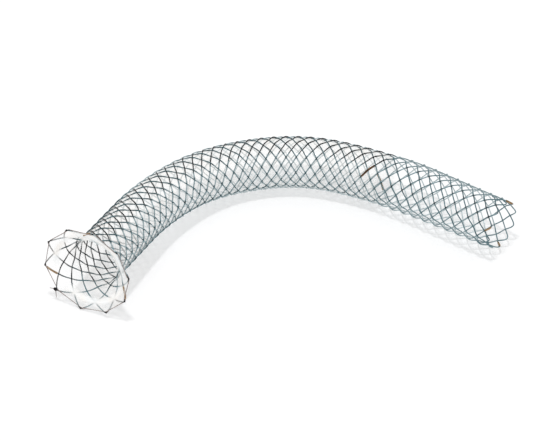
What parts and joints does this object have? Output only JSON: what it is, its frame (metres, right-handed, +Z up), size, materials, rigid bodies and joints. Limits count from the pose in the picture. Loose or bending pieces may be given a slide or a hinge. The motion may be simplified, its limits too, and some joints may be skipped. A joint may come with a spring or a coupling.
{
  "type": "biliary stent",
  "caption": "Woven wire tube with a flared mouth, a clear film lining, a bare end, a thread round the mouth and small metal marker sleeves, bent in a wide curve.",
  "frame": {"origin": "centre of the bounding box, at the surface that the stent lies on", "axes": "+Z up; the flared mouth opens along -Y and the bare end along +X, a little towards -Y"},
  "size_m": [0.0706, 0.0578, 0.0175],
  "materials": {
    "nitinol_wire": "dark oxidised satin",
    "clear_film": "clear glossy",
    "thread": "twisted",
    "gold": "satin"
  },
  "bodies": {
    "root": {"edge_marker_1_front": "gold", "edge_marker_1_rear": "gold", "edge_marker_2_front": "gold", "edge_marker_2_rear": "gold", "end_marker_1": "gold", "end_marker_2": "gold", "end_marker_3": "gold", "flare_marker_1": "gold", "flare_marker_2": "gold", "flare_marker_3": "gold", "retrieval_thread": "thread", "silicone_film": "clear_film", "wire_frame": "nitinol_wire"}
  },
  "joints": []
}
